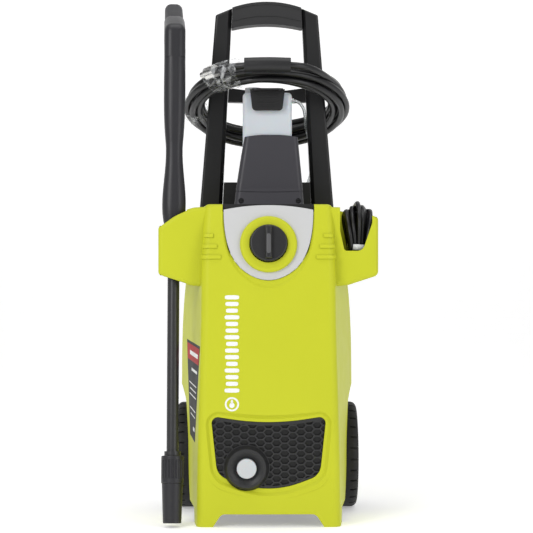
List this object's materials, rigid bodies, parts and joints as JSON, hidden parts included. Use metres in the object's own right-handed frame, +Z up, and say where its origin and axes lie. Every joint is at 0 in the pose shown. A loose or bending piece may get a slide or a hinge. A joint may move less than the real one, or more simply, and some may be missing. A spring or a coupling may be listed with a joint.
{
  "type": "pressure washer",
  "caption": "Upright electric pressure washer on two wheels, with a spray gun in a side holster, a coiled hose round its handle and a corded plug.",
  "frame": {"origin": "floor level, under the middle of the machine's footprint", "axes": "+Z up, the switch panel and grille face -Y, +X to the right of someone who looks at the front"},
  "size_m": [0.35, 0.4034, 0.8614],
  "materials": {
    "green_housing": "bright lime green moulded plastic, satin",
    "panel_grey": "light grey moulded plastic",
    "black_plastic": "black moulded plastic, fine texture",
    "cover_grey": "dark charcoal plastic",
    "grip_rubber": "charcoal soft grip",
    "trigger_grey": "grey plastic",
    "white_plastic": "white plastic",
    "tank_plastic": "translucent natural plastic",
    "clear_tube": "clear vinyl tube",
    "tyre_rubber": "black hard rubber",
    "hose_rubber": "black high-pressure hose",
    "cord_rubber": "black rubber sheath",
    "bright_steel": "plated steel",
    "screw_steel": "blackened steel",
    "brass": "turned brass",
    "cast_aluminium": "die cast aluminium",
    "motor_steel": "steel laminations and castings"
  },
  "bodies": {
    "machine": {"front_shell": "green_housing", "rear_shell": "green_housing", "knob_bezel": "green_housing", "control_panel": "panel_grey", "power_switch": "black_plastic", "grille": "black_plastic", "chassis": "black_plastic", "handle_left": "black_plastic", "handle_right": "black_plastic", "upper_crossbar": "black_plastic", "lower_crossbar": "black_plastic", "deck": "black_plastic", "front_hose_hook": "black_plastic", "rear_hose_hook": "black_plastic", "cord_gland": "black_plastic", "plug": "black_plastic", "hose_sleeve": "black_plastic", "tank_cover": "cover_grey", "handle_grip": "grip_rubber", "detergent_tank": "tank_plastic", "siphon_tube": "clear_tube", "hose_coil": "hose_rubber", "hose_tail": "hose_rubber", "inlet_hose": "hose_rubber", "power_cord": "cord_rubber", "cord_hank": "cord_rubber", "axle": "bright_steel", "axle_caps": "bright_steel", "hose_nut": "bright_steel", "piston_springs": "bright_steel", "pistons": "bright_steel", "pressure_pipe": "bright_steel", "cover_screws": "screw_steel", "handle_bolts": "screw_steel", "outlet_fitting": "brass", "inlet_fitting": "brass", "pump_block": "cast_aluminium", "pump_head": "cast_aluminium", "gear_case": "cast_aluminium", "motor_end_bell": "cast_aluminium", "pump_plate": "cast_aluminium", "motor_stator": "motor_steel"},
    "left_wheel": {"wheel_left": "black_plastic", "tyre_left": "tyre_rubber"},
    "right_wheel": {"wheel_right": "black_plastic", "tyre_right": "tyre_rubber"},
    "knob": {"power_knob": "black_plastic"},
    "gun": {"gun_shell": "black_plastic", "gun_grip": "grip_rubber", "gun_inlet": "brass", "lance_tube": "black_plastic"},
    "nozzle": {"nozzle_collar": "black_plastic", "nozzle_tip": "black_plastic"},
    "trigger_lever": {"trigger": "trigger_grey"},
    "trigger_catch": {"trigger_lock": "trigger_grey"},
    "dust_cap": {"outlet_cap": "white_plastic"},
    "tank_lid": {"filler_cap": "white_plastic"},
    "armature": {"motor_rotor": "motor_steel", "cooling_fan": "black_plastic"},
    "pump_drive": {"wobble_drive": "motor_steel"}
  },
  "joints": [
    {"name": "left_wheel_spin", "type": "hinge", "parent": "machine", "child": "left_wheel", "pos_m": [-0.134, 0.0655, 0.089], "axis": [1, 0, 0], "continuous": true},
    {"name": "right_wheel_spin", "type": "hinge", "parent": "machine", "child": "right_wheel", "pos_m": [0.134, 0.0655, 0.089], "axis": [1, 0, 0], "continuous": true},
    {"name": "power_knob_turn", "type": "hinge", "parent": "machine", "child": "knob", "pos_m": [0, -0.162, 0.444], "axis": [0, 0.9816, -0.1908], "range_deg": [0, 90]},
    {"name": "gun_lift", "type": "slide", "parent": "machine", "child": "gun", "axis": [0, 0.1392, 0.9903], "range_m": [0, 0.5]},
    {"name": "nozzle_turn", "type": "hinge", "parent": "gun", "child": "nozzle", "pos_m": [-0.1515, -0.16615, 0.06142], "axis": [0, 0.1392, 0.9903], "range_deg": [0, 90]},
    {"name": "trigger_pull", "type": "hinge", "parent": "gun", "child": "trigger_lever", "pos_m": [-0.15235, -0.05586, 0.74573], "axis": [0.9981, 0.0605, -0.0085], "range_deg": [0, 12], "stiffness_Nm_per_rad": 1.5, "springref_deg": -2.86},
    {"name": "trigger_catch_swing", "type": "hinge", "parent": "trigger_lever", "child": "trigger_catch", "pos_m": [-0.15706, 0.02303, 0.75484], "axis": [-0.9981, -0.0605, 0.0085], "range_deg": [0, 55]},
    {"name": "outlet_cap_pull", "type": "slide", "parent": "machine", "child": "dust_cap", "axis": [0, -1, 0], "range_m": [0, 0.04]},
    {"name": "filler_cap_lift", "type": "slide", "parent": "machine", "child": "tank_lid", "axis": [0, 0, 1], "range_m": [0, 0.04]},
    {"name": "motor_spin", "type": "hinge", "parent": "machine", "child": "armature", "pos_m": [0, -0.0245, 0.3], "axis": [0, 0, 1], "continuous": true},
    {"name": "pump_spin", "type": "hinge", "parent": "machine", "child": "pump_drive", "pos_m": [0, -0.0525, 0.226], "axis": [0, 0, 1], "continuous": true}
  ],
  "couplings": [
    {"joint": "pump_spin", "follows": "motor_spin", "ratio": -0.33333}
  ]
}
